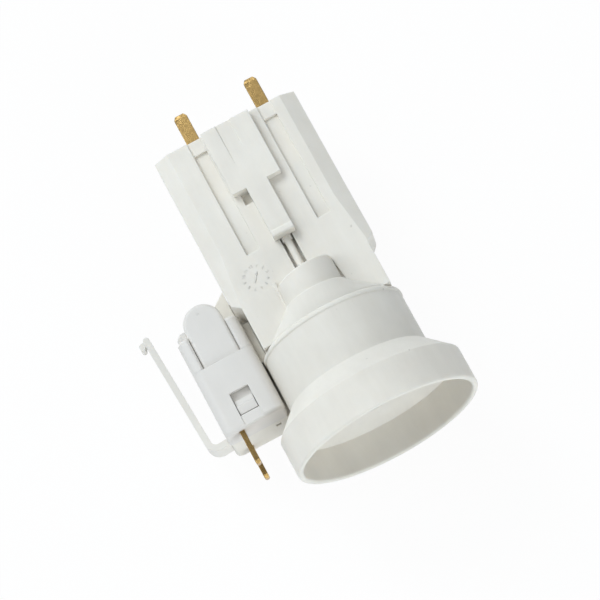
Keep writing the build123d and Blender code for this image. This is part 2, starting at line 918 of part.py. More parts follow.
def plug_base():
    """The deep base of the plug, open at its cable end, with its tall finger."""
    shape = slab(
        [
            (base_left, 0),
            (base_right, 0),
            (base_right, base_height),
            (finger_right, base_height + finger_root),
            (finger_right, finger_end),
            (finger_left, finger_end - finger_slope),
            (finger_left, base_height),
            (base_left, base_height),
        ],
        plug_cover_depth,
        plug_depth,
    )
    # the foot reaches under the sleeve, and the flank stands beside the cover as far as the sleeve
    shape += block(base_left, foot_right, foot_near, plug_depth, 0, base_height)
    shape += block(finger_right, foot_right, foot_near, plug_depth, base_height, foot_end)
    shape += block(flank_left, flank_right, flank_near, plug_depth, flank_foot, flank_end)
    far_edges = shape.edges().filter_by(Axis.Z).group_by(Axis.Y)[-1]
    shape = fillet(far_edges.sort_by(Axis.X)[0], 2.0)
    low_corner = shape.edges().filter_by(Axis.Y).group_by(Axis.Z)[0].sort_by(Axis.X)[0]
    shape = fillet(low_corner, 1.2)
    # cable room, open at the top
    shape -= block(
        base_left + base_wall,
        room_right,
        plug_cover_depth + base_wall,
        plug_depth - base_wall,
        base_floor,
        finger_end + 1,
    )
    # notch in the finger just beyond the right rail
    shape -= block(
        finger_notch_left,
        finger_right + 1,
        plug_cover_depth - 1,
        plug_cover_depth + finger_notch_depth,
        base_height,
        finger_notch_end,
    )
    # passage to the near terminal
    shape -= block(
        plug_blade_x + 1.0,
        plug_blade_x + 1.0 + terminal_width,
        plug_cover_depth - 1,
        plug_cover_depth + base_wall + 1,
        terminal_low + terminal_height,
        base_height - passage_drop,
    )
    # slots for the far blade and the earth contact
    half = blade_gauge / 2 + hole_clearance
    shape -= block(
        plug_blade_x - half,
        plug_blade_x + half,
        plug_blade_far_y - blade_width / 2 - hole_clearance,
        plug_blade_far_y + blade_width / 2 + hole_clearance,
        -1,
        base_floor + 1,
    )
    shape -= block(
        earth_x - earth_gauge / 2,
        earth_x + earth_gauge / 2,
        earth_y - earth_width / 2,
        earth_y + earth_width / 2,
        -1,
        base_floor + 1,
    )
    shape -= block(
        earth_x - 1.9,
        earth_x + 1.9,
        earth_y - 1.6,
        earth_y + 2.4,
        base_floor / 2,
        base_floor / 2 + earth_room_length,
    )
    # round groove that holds the strap's knuckle
    groove = rod_along_y(
        knuckle_radius + knuckle_clearance,
        knuckle_x,
        strap_root_z,
        strap_near_y - 0.15,
        strap_near_y + strap_width + 0.15,
    )
    mouth = slab(
        [
            (knuckle_x, strap_root_z - strap_gauge / 2 - 0.02),
            (base_left - 1, strap_root_z - strap_gauge / 2 - 0.6),
            (base_left - 1, strap_root_z + strap_gauge / 2 + 0.6),
            (knuckle_x, strap_root_z + strap_gauge / 2 + 0.02),
        ],
        strap_near_y - 0.15,
        strap_near_y + strap_width + 0.15,
    )
    return shape - groove - mouth


def plug_blade(place_y, is_near):
    """A blade of the plug, seen on edge, with a tang beside its terminal."""
    half = blade_width / 2
    tang_far = place_y + half + (plug_cover_depth - place_y - half - 1.2 if is_near else 0)
    points = [
        (place_y - half + blade_tip * 0.6, -plug_blade_reach),
        (place_y + half - blade_tip * 0.6, -plug_blade_reach),
        (place_y + half, -plug_blade_reach + blade_tip),
        (place_y + half, terminal_low - terminal_gap),
        (tang_far, terminal_low - terminal_gap),
        (tang_far, plug_tang),
        (place_y - half, plug_tang),
        (place_y - half, -plug_blade_reach + blade_tip),
    ]
    if not is_near:
        points = [point for point in points if point != (tang_far, terminal_low - terminal_gap)]
    left = plug_blade_x - blade_gauge / 2
    outline = make_face(Polyline(*[(left, y, z) for y, z in points], close=True))
    shape = extrude(outline, amount=blade_gauge, dir=(1, 0, 0))
    tip_edges = shape.edges().filter_by(Axis.Y).group_by(Axis.Z)[0]
    return chamfer(tip_edges, blade_gauge * 0.3)


def terminal(low_y):
    """A brass block with a hole for the wire and one for its screw."""
    left = plug_blade_x + blade_gauge / 2
    shape = block(
        left, left + terminal_width, low_y, low_y + terminal_depth - terminal_gap,
        terminal_low, terminal_low + terminal_height,
    )
    shape -= rod_along_z(
        wire_hole_radius,
        left + terminal_width / 2,
        low_y + (terminal_depth - terminal_gap) / 2,
        terminal_low + 1.5,
        terminal_low + terminal_height + 1,
    )
    return shape - rod_along_x(
        screw_radius + hole_clearance,
        low_y + (terminal_depth - terminal_gap) / 2,
        terminal_low + terminal_height / 2,
        left + terminal_width / 2,
        left + terminal_width + 1,
    )


def terminal_screws(low_ys):
    """The screws of both terminals."""
    screws = []
    left = plug_blade_x + blade_gauge / 2
    for low_y in low_ys:
        y = low_y + (terminal_depth - terminal_gap) / 2
        z = terminal_low + terminal_height / 2
        head = left + terminal_width
        screw = rod_along_x(screw_radius, y, z, head - screw_bite, head)
        screw += rod_along_x(screw_head_radius, y, z, head, head + screw_head_height)
        screw -= block(
            head + screw_head_height - screw_slot_depth,
            head + screw_head_height,
            y - screw_head_radius,
            y + screw_head_radius,
            z - screw_slot_width / 2,
            z + screw_slot_width / 2,
        )
        screws.append(screw)
    return Compound(children=screws)


def earth_clip():
    """The folded clip behind the small hole in the blade end."""
    low = base_floor / 2
    high = low + earth_clip_length
    outer_x = 1.5
    gauge = 0.4
    shape = block(earth_x - outer_x, earth_x + outer_x, earth_y - 1.3, earth_y + 1.3, low, high)
    inner = outer_x - gauge
    return shape - block(earth_x - inner, earth_x + inner, earth_y - 2, earth_y + 2, low - 1, high - gauge)


def retaining_strap():
    """The thin strap: a round knuckle in the base, a short foot, a long arm and a hook."""
    half = strap_gauge / 2
    corner_x = knuckle_x - strap_reach
    path = FilletPolyline(
        (knuckle_x, 0, strap_root_z),
        (corner_x, 0, strap_root_z),
        (corner_x, 0, strap_root_z + strap_length),
        radius=strap_corner_round,
    )
    band = offset(path, amount=half, side=Side.BOTH, closed=True)
    shape = extrude(make_face(band), amount=strap_width, dir=(0, 1, 0))
    top = strap_root_z + strap_length
    outer_x = corner_x - half - hook_reach
    hook = block(outer_x, corner_x + half, 0, strap_width, top - hook_gauge, top)
    hook += block(outer_x, outer_x + hook_gauge, 0, strap_width, top - hook_drop, top)
    corners = hook.edges().filter_by(Axis.Y)
    hook = fillet(corners.group_by(Axis.Z)[-1], 0.8)
    hook = fillet(hook.edges().filter_by(Axis.Y).group_by(Axis.Z)[0], 0.5)
    shape += hook
    # the arm narrows towards the hook
    far_side = Polyline(
        (outer_x - 1, strap_width, top - strap_taper),
        (outer_x - 1, strap_width, top + 0.1),
        (outer_x - 1, hook_width, top + 0.1),
        close=True,
    )
    shape -= extrude(make_face(far_side), amount=strap_reach, dir=(1, 0, 0))
    shape += rod_along_y(knuckle_radius, knuckle_x, strap_root_z, 0, strap_width)
    shape = Pos(0, strap_near_y, 0) * shape
    # the strap rests turned a little outwards about its knuckle
    turn = Pos(knuckle_x, 0, strap_root_z) * Rot(0, -strap_splay, 0) * Pos(-knuckle_x, 0, -strap_root_z)
    return turn * shape


# Laying both on the table

def slope(rise, run):
    """The angle of a slope in degrees."""
    return Vector(1, 0, 0).get_angle(Vector(run, rise, 0))


holder_nodes = {
    "holder_housing": holder_housing(),
    "back_cover": back_cover(),
    "skirt_sleeve": skirt_sleeve(),
    "screw_shell": screw_shell(),
    "contact_carrier": contact_carrier(),
    "centre_contact": centre_contact(),
    "carrier_rivets": carrier_rivets(),
    "blade_left": blade(blade_left_x, link_left_x),
    "blade_right": blade(blade_right_x, link_right_x),
    "link_strip_left": link_strip(link_left_x, link_left_foot_y),
    "link_strip_right": link_strip(link_right_x, link_right_foot_y),
    "strip_rivets": strip_rivets(),
    "latch_slider": latch_slider(),
}
plug_nodes = {
    "plug_cover": plug_cover(),
    "latch_guide": latch_guide(),
    "pull_tab": pull_tab(),
    "plug_base": plug_base(),
    "plug_blade_near": plug_blade(plug_blade_near_y, True),
    "plug_blade_far": plug_blade(plug_blade_far_y, False),
    "terminal_near": terminal(terminal_near_y),
    "terminal_far": terminal(terminal_far_y),
    "terminal_screws": terminal_screws((terminal_near_y, terminal_far_y)),
    "earth_clip": earth_clip(),
    "retaining_strap": retaining_strap(),
}

# The holder lies on its round back, on the skirt's upper edge and the body's end.
lean = slope(skirt_radius - body_radius, body_end - skirt_band)
holder_lies = Rot(-90 - lean, 0, 0)
plug_lies = Pos(plug_offset_x, plug_offset_z, 0) * Rot(-90, 0, 0)
holder_low = Compound(children=[holder_lies * shape for shape in holder_nodes.values()]).bounding_box()
plug_low = Compound(children=[plug_lies * shape for shape in plug_nodes.values()]).bounding_box()
holder_lies = Pos(0, 0, -holder_low.min.Z) * holder_lies
plug_lies = Pos(0, 0, -plug_low.min.Z) * plug_lies

# The origin is on the table, under the middle of both.
low_x = min(holder_low.min.X, plug_low.min.X)
high_x = max(holder_low.max.X, plug_low.max.X)
low_y = min(holder_low.min.Y, plug_low.min.Y)
high_y = max(holder_low.max.Y, plug_low.max.Y)
centring = Pos(-(low_x + high_x) / 2, -(low_y + high_y) / 2, 0)
holder_place = centring * holder_lies
plug_place = centring * plug_lies

os.makedirs("parts", exist_ok=True)
for nodes, place in ((holder_nodes, holder_place), (plug_nodes, plug_place)):
    for name, shape in nodes.items():
        export_step(place * shape, f"parts/{name}.step")
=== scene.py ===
"""Dresses the ceiling lamp holder and its loose plug, and sets the light and the camera."""

import json
import logging
import math
from dataclasses import dataclass, field
from enum import Enum
from typing import Any

import bmesh
import bpy
from mathutils import Matrix, Vector

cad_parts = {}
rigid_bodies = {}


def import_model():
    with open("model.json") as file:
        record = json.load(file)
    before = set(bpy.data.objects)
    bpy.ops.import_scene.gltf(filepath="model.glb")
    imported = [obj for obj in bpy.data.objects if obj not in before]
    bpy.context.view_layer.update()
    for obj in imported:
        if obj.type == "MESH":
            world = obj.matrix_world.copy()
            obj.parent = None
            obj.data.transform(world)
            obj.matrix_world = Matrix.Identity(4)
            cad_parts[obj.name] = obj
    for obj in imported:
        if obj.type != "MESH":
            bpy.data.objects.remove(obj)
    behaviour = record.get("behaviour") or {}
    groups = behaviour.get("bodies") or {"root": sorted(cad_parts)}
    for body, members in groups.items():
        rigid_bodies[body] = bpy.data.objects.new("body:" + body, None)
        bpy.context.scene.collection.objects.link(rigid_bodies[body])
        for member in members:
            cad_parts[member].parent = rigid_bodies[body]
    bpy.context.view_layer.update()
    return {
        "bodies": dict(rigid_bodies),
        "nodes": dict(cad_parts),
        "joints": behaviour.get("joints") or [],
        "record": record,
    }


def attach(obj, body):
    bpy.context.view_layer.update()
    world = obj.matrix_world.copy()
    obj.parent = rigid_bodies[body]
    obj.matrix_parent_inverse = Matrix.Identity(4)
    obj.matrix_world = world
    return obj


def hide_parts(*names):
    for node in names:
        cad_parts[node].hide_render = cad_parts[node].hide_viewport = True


LOG = logging.getLogger("scene")
Triple = tuple[float, float, float]

MM = 0.001
FULL_TURN = 2 * math.pi
ORIGIN: Triple = (0.0, 0.0, 0.0)
UPWARDS: Triple = (0.0, 0.0, 1.0)
NOISE_MIDDLE = 0.5
COOL_WHITE: Triple = (0.885, 0.945, 1.0)


def linear(colour: Triple) -> tuple[float, float, float, float]:
    """Turns a colour as it is seen on a screen into the values a shader takes.

    Args:
        colour: Red, green and blue from 0 to 1, as displayed.

    Returns:
        The same colour in scene values, with an alpha of 1.
    """
    red, green, blue = (c / 12.92 if c <= 0.04045 else ((c + 0.055) / 1.055) ** 2.4 for c in colour)
    return red, green, blue, 1.0


def shifted(colour: Triple, amount: float) -> Triple:
    """Makes a colour lighter or darker.

    Args:
        colour: Red, green and blue from 0 to 1.
        amount: What is added to each.

    Returns:
        The colour, kept between 0 and 1.
    """
    red, green, blue = (min(1.0, max(0.0, c + amount)) for c in colour)
    return red, green, blue


@dataclass(frozen=True)
class Pattern:
    """A noise over a piece.

    Attributes:
        scale: How many features a metre has, or 1 where stretch says it.
        detail: How many octaves it has.
        roughness: How strong the small octaves are.
        stretch: How many features a metre has along X, Y and Z, where these differ.
        turn: The stretched pattern's turn about Z, in radians.
        used: The part of the noise's range that becomes 0 to 1, or None for all of it.
    """

    scale: float = 1.0
    detail: float = 3.0
    roughness: float = 0.55
    stretch: Triple | None = None
    turn: float = 0.0
    used: tuple[float, float] | None = None


class Value:
    """A shader socket that Python's operators work on."""

    def __init__(self, graph: "Graph", socket: bpy.types.NodeSocket) -> None:
        """Keeps the socket and the graph it belongs to."""
        self.graph = graph
        self.socket = socket

    def _math(self, operation: str, first: Any, second: Any) -> "Value":
        """Adds one Math node.

        Args:
            operation: The node's operation.
            first: A value or a number.
            second: A value or a number.

        Returns:
            The node's result.
        """
        return self.graph.node("ShaderNodeMath", {"operation": operation}, {0: first, 1: second})

    def __add__(self, other: Any) -> "Value":
        """Adds two values."""
        return self._math("ADD", self, other)

    def __radd__(self, other: Any) -> "Value":
        """Adds two values, the number first."""
        return self._math("ADD", other, self)

    def __sub__(self, other: Any) -> "Value":
        """Subtracts a value."""
        return self._math("SUBTRACT", self, other)

    def __rsub__(self, other: Any) -> "Value":
        """Subtracts this value from a number."""
        return self._math("SUBTRACT", other, self)

    def __mul__(self, other: Any) -> "Value":
        """Multiplies two values."""
        return self._math("MULTIPLY", self, other)

    def __rmul__(self, other: Any) -> "Value":
        """Multiplies two values, the number first."""
        return self._math("MULTIPLY", other, self)

    def clamped(self) -> "Value":
        """Keeps the value between 0 and 1."""
        return self.graph.node("ShaderNodeClamp", {}, {"Value": self})


class Graph:
    """The node tree of one material."""

    def __init__(self, name: str) -> None:
        """Starts a material without nodes."""
        self.material = bpy.data.materials.new(name)
        self.material.use_nodes = True
        self.tree = self.material.node_tree
        self.tree.nodes.clear()

    def make(self, kind: str, settings: dict[str, Any], inputs: dict[Any, Any]) -> bpy.types.Node:
        """Makes a node, sets it and fills its sockets.

        Args:
            kind: The node's type.
            settings: Its properties, set before its sockets.
            inputs: Values or links by socket name or number.

        Returns:
            The node.
        """
        node = self.tree.nodes.new(kind)
        for key, setting in settings.items():
            setattr(node, key, setting)
        for key, given in inputs.items():
            self.fill(node.inputs[key], given)
        return node

    def fill(self, socket: bpy.types.NodeSocket, given: Any) -> None:
        """Links a value to a socket, or sets the socket to a plain number or colour.

        Args:
            socket: The input socket.
            given: What goes into it.
        """
        if isinstance(given, Value):
            self.tree.links.new(given.socket, socket)
        else:
            socket.default_value = given

    def node(self, kind: str, settings: dict[str, Any], inputs: dict[Any, Any], output: Any = 0) -> Value:
        """Makes a node and returns one of its outputs.

        Args:
            kind: The node's type.
            settings: Its properties.
            inputs: Values or links by socket name or number.
            output: The name or number of the output.

        Returns:
            That output.
        """
        return Value(self, self.make(kind, settings, inputs).outputs[output])

    def place(self) -> Value:
        """The point on the piece, in metres."""
        return self.node("ShaderNodeTexCoord", {}, {}, "Object")

    def stretched(self, scale: Triple, turn: float) -> Value:
        """Points scaled by a different amount on each axis.

        Args:
            scale: The factor on X, Y and Z.
            turn: A turn about Z in radians.

        Returns:
            The scaled points.
        """
        inputs = {"Vector": self.place(), "Scale": scale, "Rotation": (0.0, 0.0, turn)}
        return self.node("ShaderNodeMapping", {"vector_type": "POINT"}, inputs)

    def pattern(self, wanted: Pattern) -> Value:
        """Reads a noise over the piece.

        Args:
            wanted: The noise's settings.

        Returns:
            The noise, with the part of its range that is used stretched to 0 to 1.
        """
        points = self.place() if wanted.stretch is None else self.stretched(wanted.stretch, wanted.turn)
        inputs = {"Vector": points, "Scale": wanted.scale, "Detail": wanted.detail, "Roughness": wanted.roughness}
        noise = self.node("ShaderNodeTexNoise", {}, inputs, "Fac")
        if wanted.used is None:
            return noise
        low, high = wanted.used
        return self.node("ShaderNodeMapRange", {"clamp": True}, {"Value": noise, "From Min": low, "From Max": high})

    def blend(self, first: Any, second: Any, share: Value) -> Value:
        """Mixes two colours.

        Args:
            first: The colour at a share of 0.
            second: The colour at a share of 1.
            share: The share.

        Returns:
            The mixed colour.
        """
        node = self.make("ShaderNodeMix", {"data_type": "RGBA"}, {"Factor": share})
        sockets = [s for s in node.inputs if s.type == "RGBA"]
        for socket, given in zip(sockets, (first, second)):
            self.fill(socket, given)
        return Value(self, next(s for s in node.outputs if s.type == "RGBA"))

    def soft_normal(self, radius: float) -> Value:
        """The normal of a surface whose edges are rounded.

        Args:
            radius: The rounding in metres.

        Returns:
            The normal.
        """
        return self.node("ShaderNodeBevel", {"samples": 8}, {"Radius": radius})

    def edges(self, soft: Value, gain: float) -> Value:
        """A mask that is 1 along edges.

        Args:
            soft: The rounded normal.
            gain: How wide the mask is.

        Returns:
            The mask.
        """
        flat = self.node("ShaderNodeNewGeometry", {}, {}, "Normal")
        facing = self.node("ShaderNodeVectorMath", {"operation": "DOT_PRODUCT"}, {0: soft, 1: flat}, "Value")
        return ((1.0 - facing) * gain).clamped()

    def bump(self, height: Value, soft: Value, strength: float, depth: float) -> Value:
        """Roughens a normal.

        Args:
            height: The relief.
            soft: The normal that is roughened.
            strength: The share of the relief that shows.
            depth: What a height of 1 stands for, in metres.

        Returns:
            The new normal.
        """
        inputs = {"Height": height, "Strength": strength, "Distance": depth, "Normal": soft}
        return self.node("ShaderNodeBump", {}, inputs)

    def finish(self, shader: bpy.types.Node) -> bpy.types.Material:
        """Joins a shader to the output.

        Args:
            shader: The surface shader.

        Returns:
            The material.
        """
        self.make("ShaderNodeOutputMaterial", {}, {"Surface": Value(self, shader.outputs[0])})
        return self.material


@dataclass(frozen=True)
class Moulding:
    """A moulded plastic with faint clouds, flow marks, grain, scuffs, dust and softened edges, and a painted
    highlight that lightens the edges.

    The patterns come first, then how much each changes the colour, the roughness and the relief,
    and last how light sinks in. Lengths are in metres.
    """

    name: str
    pale: Triple
    deep: Triple
    roughness: float = 0.42
    cloud: Pattern = Pattern(scale=95.0, detail=4.0, used=(0.3, 0.7))
    flow: Pattern = Pattern(detail=5.0, roughness=0.6, stretch=(260.0, 45.0, 120.0), used=(0.35, 0.68))
    grain: Pattern = Pattern(scale=5200.0, detail=2.0, roughness=0.7)
    scuff: Pattern = Pattern(stretch=(1900.0, 240.0, 900.0), turn=0.6, used=(0.6, 0.74))
    dust: Pattern = Pattern(scale=700.0, detail=1.0, roughness=0.4, used=(0.79, 0.86))
    cloud_share: float = 0.55
    edge_radius: float = 0.00028
    edge_gain: float = 5.0
    # The painted edge highlight: its share of the edge mask and how much it lightens the colour.
    edge_share: float = 0.6
    edge_lift: float = 0.03
    dust_depth: float = 0.07
    grain_roughness: float = 0.12
    cloud_roughness: float = 0.07
    scuff_roughness: float = 0.06
    edge_polish: float = 0.06
    grain_height: float = 0.6
    flow_height: float = 0.5
    scuff_height: float = 0.25
    bump_strength: float = 0.35
    bump_depth: float = 0.00003
    refraction: float = 1.46
    glow: float = 0.12
    glow_depth: float = 0.0012
    glow_reach: Triple = (1.0, 0.92, 0.8)

    def make(self) -> bpy.types.Material:
        """Makes the material.

        Returns:
            The material.
        """
        graph = Graph(self.name)
        cloud, flow, grain = (graph.pattern(p) for p in (self.cloud, self.flow, self.grain))
        scuff, dust = graph.pattern(self.scuff), graph.pattern(self.dust)
        soft = graph.soft_normal(self.edge_radius)
        edge = graph.edges(soft, self.edge_gain)
        tone = (cloud * self.cloud_share + flow * (1.0 - self.cloud_share)).clamped()
        body = graph.blend(linear(self.deep), linear(self.pale), tone)
        # Painted highlight: the edges are lightened in colour, standing in for the light they catch.
        lit = graph.blend(body, linear(shifted(self.pale, self.edge_lift)), edge * self.edge_share)
        colour = graph.blend(lit, linear(shifted(self.deep, -self.dust_depth)), dust)
        rough = self.roughness + (grain - NOISE_MIDDLE) * self.grain_roughness
        rough = rough + (cloud - NOISE_MIDDLE) * self.cloud_roughness
        rough = rough + scuff * self.scuff_roughness - edge * self.edge_polish
        height = grain * self.grain_height + flow * self.flow_height + scuff * self.scuff_height
        shader = graph.make(
            "ShaderNodeBsdfPrincipled",
            {"subsurface_method": "RANDOM_WALK"},
            {
                "Base Color": colour,
                "Roughness": rough,
                "Normal": graph.bump(height, soft, self.bump_strength, self.bump_depth),
                "IOR": self.refraction,
                "Subsurface Weight": self.glow,
                "Subsurface Radius": self.glow_reach,
                "Subsurface Scale": self.glow_depth,
            },
        )
        return graph.finish(shader)


@dataclass(frozen=True)
class Metal:
    """A worked metal with fine lines, faint tarnish, small pits and edges painted brighter as a highlight.

    The patterns come first, then how much each changes the colour, the roughness and the relief.
    Lengths are in metres.
    """

    name: str
    bright: Triple
    dull: Triple
    roughness: float = 0.34
    line: Pattern = Pattern(detail=4.0, roughness=0.65, stretch=(4200.0, 160.0, 2600.0), used=(0.3, 0.72))
    stain: Pattern = Pattern(scale=800.0, detail=4.0, roughness=0.6, used=(0.4, 0.72))
    pit: Pattern = Pattern(scale=4200.0, detail=2.0, used=(0.62, 0.75))
    line_share: float = 0.35
    edge_radius: float = 0.00018
    edge_gain: float = 6.0
    # How much the painted edge highlight lightens the colour.
    edge_lift: float = 0.08
    line_roughness: float = 0.14
    stain_roughness: float = 0.1
    pit_roughness: float = 0.1
    edge_polish: float = 0.08
    line_height: float = 0.35
    pit_height: float = 0.4
    bump_strength: float = 0.3
    bump_depth: float = 0.00002

    def make(self) -> bpy.types.Material:
        """Makes the material.

        Returns:
            The material.
        """
        graph = Graph(self.name)
        line, stain, pit = (graph.pattern(p) for p in (self.line, self.stain, self.pit))
        soft = graph.soft_normal(self.edge_radius)
        edge = graph.edges(soft, self.edge_gain)
        worn = (line * self.line_share + stain * (1.0 - self.line_share)).clamped()
        body = graph.blend(linear(self.bright), linear(self.dull), worn)
        # Painted highlight: the edges are lightened in colour, standing in for the light they catch.
        colour = graph.blend(body, linear(shifted(self.bright, self.edge_lift)), edge)
        rough = self.roughness + (line - NOISE_MIDDLE) * self.line_roughness
        rough = rough + stain * self.stain_roughness + pit * self.pit_roughness - edge * self.edge_polish
        height = line * self.line_height - pit * self.pit_height
        shader = graph.make(
            "ShaderNodeBsdfPrincipled",
            {},
            {
                "Base Color": colour,
                "Roughness": rough,
                "Normal": graph.bump(height, soft, self.bump_strength, self.bump_depth),
                "Metallic": 1.0,
            },
        )
        return graph.finish(shader)


class Slot(Enum):
    """The finishes that the record names."""

    HOUSING = "housing_plastic"
    COVER = "cover_plastic"
    BASE = "base_plastic"
    STRAP = "strap_nylon"
    CARRIER = "carrier_plastic"
    BLADE = "blade_brass"
    STRIP = "strip_brass"
    SHELL = "shell_metal"
    TERMINAL = "terminal_brass"
    SCREW = "screw_steel"


FINISHES: dict[Slot, Moulding | Metal] = {
    Slot.HOUSING: Moulding(
        "housing_white",
        (0.945, 0.926, 0.886),
        (0.905, 0.884, 0.842),
        roughness=0.56,
        glow=0.35,
    ),
    Slot.COVER: Moulding("cover_white", (0.905, 0.888, 0.862), (0.885, 0.868, 0.842), roughness=0.48),
    Slot.BASE: Moulding("base_ivory", (0.935, 0.915, 0.872), (0.915, 0.895, 0.85), roughness=0.52),
    Slot.STRAP: Moulding(
        "strap_natural_nylon",
        (0.918, 0.901, 0.868),
        (0.888, 0.871, 0.838),
        roughness=0.4,
        edge_radius=0.00012,
        glow=0.25,
        glow_depth=0.0008,
    ),
    Slot.CARRIER: Moulding("carrier_grey_white", (0.83, 0.82, 0.78), (0.79, 0.78, 0.73), roughness=0.6),
    Slot.BLADE: Metal("blade_brass", (0.74, 0.61, 0.385), (0.5, 0.405, 0.25), roughness=0.28),
    Slot.STRIP: Metal("strip_brass", (0.88, 0.77, 0.55), (0.78, 0.66, 0.44), roughness=0.3),
    Slot.SHELL: Metal(
        "shell_bright_metal",
        (0.88, 0.88, 0.87),
        (0.77, 0.77, 0.75),
        roughness=0.26,
        line=Pattern(detail=4.0, roughness=0.65, stretch=(420.0, 5200.0, 420.0), used=(0.3, 0.72)),
    ),
    Slot.TERMINAL: Metal("terminal_brass", (0.84, 0.74, 0.5), (0.74, 0.62, 0.4), roughness=0.38),
    Slot.SCREW: Metal("screw_zinc", (0.8, 0.8, 0.82), (0.66, 0.66, 0.67), roughness=0.33),
}


@dataclass(frozen=True)
class Lie:
    """How an item's own frame lies on the table: a turn about X in degrees, then a shift in millimetres."""

    turn: float
    shift: Triple

    def matrix(self) -> Matrix:
        """The transform from the item's millimetres to metres on the table."""
        move = Matrix.Translation(Vector(self.shift) * MM)
        return move @ Matrix.Rotation(math.radians(self.turn), 4, "X") @ Matrix.Scale(MM, 4)


# The holder lies on its round back, as in the part's source, whose frame the pieces below are drawn in.
HOLDER_LIE = Lie(-93.7447871873719, (9.473560, -45.448144, 24.150484))


@dataclass
class Workshop:
    """Makes pieces into objects and gives every node and piece its finish."""

    frame: dict[str, Any]
    materials: dict[Slot, bpy.types.Material] = field(init=False)

    def __post_init__(self) -> None:
        """Makes every finish once."""
        self.materials = {slot: finish.make() for slot, finish in FINISHES.items()}

    def dress_nodes(self) -> None:
        """Gives each CAD node the material of its slot in the record."""
        for part in self.frame["record"]["subparts"]:
            piece = self.frame["nodes"][part["node"]]
            piece.data.materials.clear()
            piece.data.materials.append(self.materials[Slot(part["material_slot"])])
            LOG.info("dressed %s", part["node"])

    def piece(
        self, name: str, mesh: bmesh.types.BMesh, lie: Lie, body: str, slot: Slot, smooth: bool = True
    ) -> bpy.types.Object:
        """Turns a mesh drawn in an item's own frame into a finished piece.

        Args:
            name: The piece's name.
            mesh: The mesh in the item's millimetres. It is freed.
            lie: How that item lies.
            body: The body the piece rides on.
            slot: Its finish.
            smooth: Whether its faces are shaded smooth.

        Returns:
            The object.
        """
        bmesh.ops.transform(mesh, matrix=lie.matrix(), verts=mesh.verts)
        for face in mesh.faces:
            face.smooth = smooth
        data = bpy.data.meshes.new(name)
        mesh.to_mesh(data)
        mesh.free()
        data.materials.append(self.materials[slot])
        made = bpy.data.objects.new(name, data)
        bpy.context.scene.collection.objects.link(made)
        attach(made, body)
        LOG.info("made %s", name)
        return made


